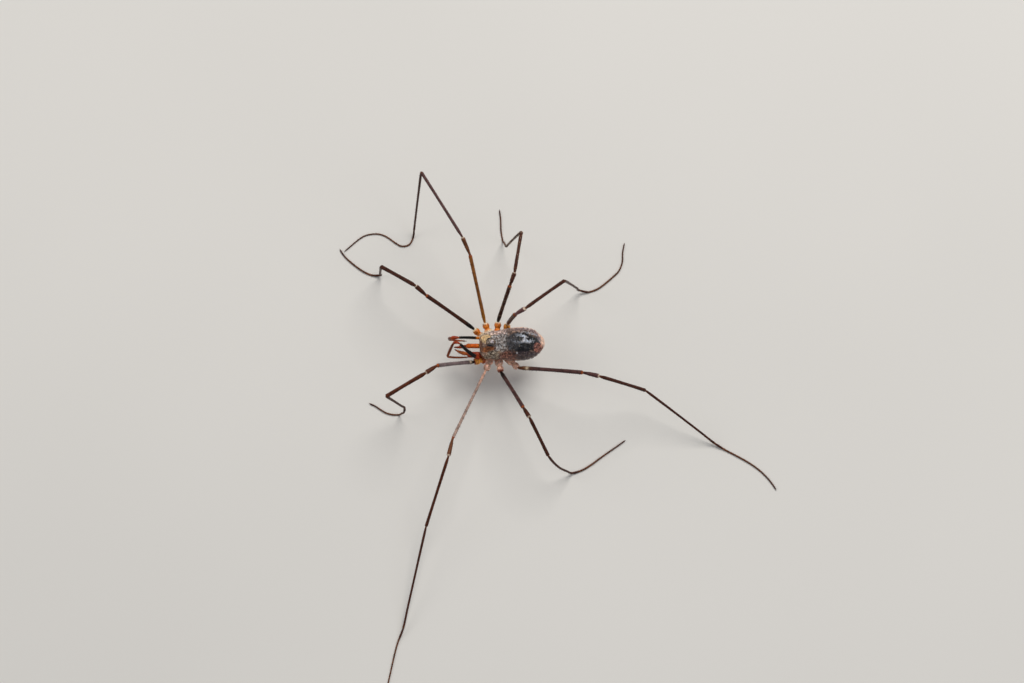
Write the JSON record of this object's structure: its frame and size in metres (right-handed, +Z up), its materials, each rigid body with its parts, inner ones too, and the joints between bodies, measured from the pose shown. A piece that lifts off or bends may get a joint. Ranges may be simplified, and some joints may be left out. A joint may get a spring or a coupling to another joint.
{
  "type": "harvestman",
  "caption": "Still life-size harvestman with a small oval body and long jointed legs, standing spread out on the ground with its mouthparts forward.",
  "frame": {"origin": "middle of the whole animal in plan, at the level of the ground under its feet", "axes": "+Z up, -X the way the animal faces, +Y towards its right side and the longest way across its legs"},
  "size_m": [0.0372, 0.045, 0.0109],
  "materials": {
    "back": "fine granular hide, satin",
    "eye": "wet gloss",
    "hips": "satin",
    "mouthparts": "satin to gloss",
    "leg_dark": "satin to gloss",
    "leg_brown": "satin to gloss",
    "leg_pale": "satin",
    "tarsus": "satin"
  },
  "bodies": {
    "root": {"prosoma": "back", "opisthosoma": "back", "eye_right": "eye", "eye_left": "eye", "hips_right": "hips", "hips_left": "hips", "palp_right_femur": "leg_dark", "palp_right_tibia": "mouthparts", "palp_right_tarsus": "mouthparts", "palp_left_femur": "leg_dark", "palp_left_tibia": "mouthparts", "palp_left_tarsus": "mouthparts", "chelicera_right_base": "mouthparts", "chelicera_right_hand": "mouthparts", "chelicera_left_base": "mouthparts", "chelicera_left_hand": "mouthparts", "leg_right_1_femur": "leg_dark", "leg_right_1_patella": "leg_dark", "leg_right_1_tibia": "leg_dark", "leg_right_1_metatarsus": "leg_dark", "leg_right_1_tarsus": "tarsus", "leg_right_2_femur": "leg_brown", "leg_right_2_patella": "leg_dark", "leg_right_2_tibia": "leg_dark", "leg_right_2_metatarsus": "leg_dark", "leg_right_2_tarsus": "tarsus", "leg_right_3_femur": "leg_dark", "leg_right_3_patella": "leg_dark", "leg_right_3_tibia": "leg_dark", "leg_right_3_metatarsus": "leg_dark", "leg_right_3_tarsus": "tarsus", "leg_right_4_femur": "leg_dark", "leg_right_4_patella": "leg_dark", "leg_right_4_tibia": "leg_dark", "leg_right_4_metatarsus": "leg_dark", "leg_right_4_tarsus": "tarsus", "leg_left_1_femur": "leg_dark", "leg_left_1_patella": "leg_dark", "leg_left_1_tibia": "leg_dark", "leg_left_1_metatarsus": "leg_dark", "leg_left_1_tarsus": "tarsus", "leg_left_2_femur": "leg_pale", "leg_left_2_patella": "leg_dark", "leg_left_2_tibia": "leg_dark", "leg_left_2_metatarsus": "leg_dark", "leg_left_2_tarsus": "tarsus", "leg_left_3_femur": "leg_dark", "leg_left_3_patella": "leg_dark", "leg_left_3_tibia": "leg_dark", "leg_left_3_metatarsus": "leg_dark", "leg_left_3_tarsus": "tarsus", "leg_left_4_femur": "leg_dark", "leg_left_4_patella": "leg_dark", "leg_left_4_tibia": "leg_dark", "leg_left_4_metatarsus": "leg_dark", "leg_left_4_tarsus": "tarsus"}
  },
  "joints": []
}
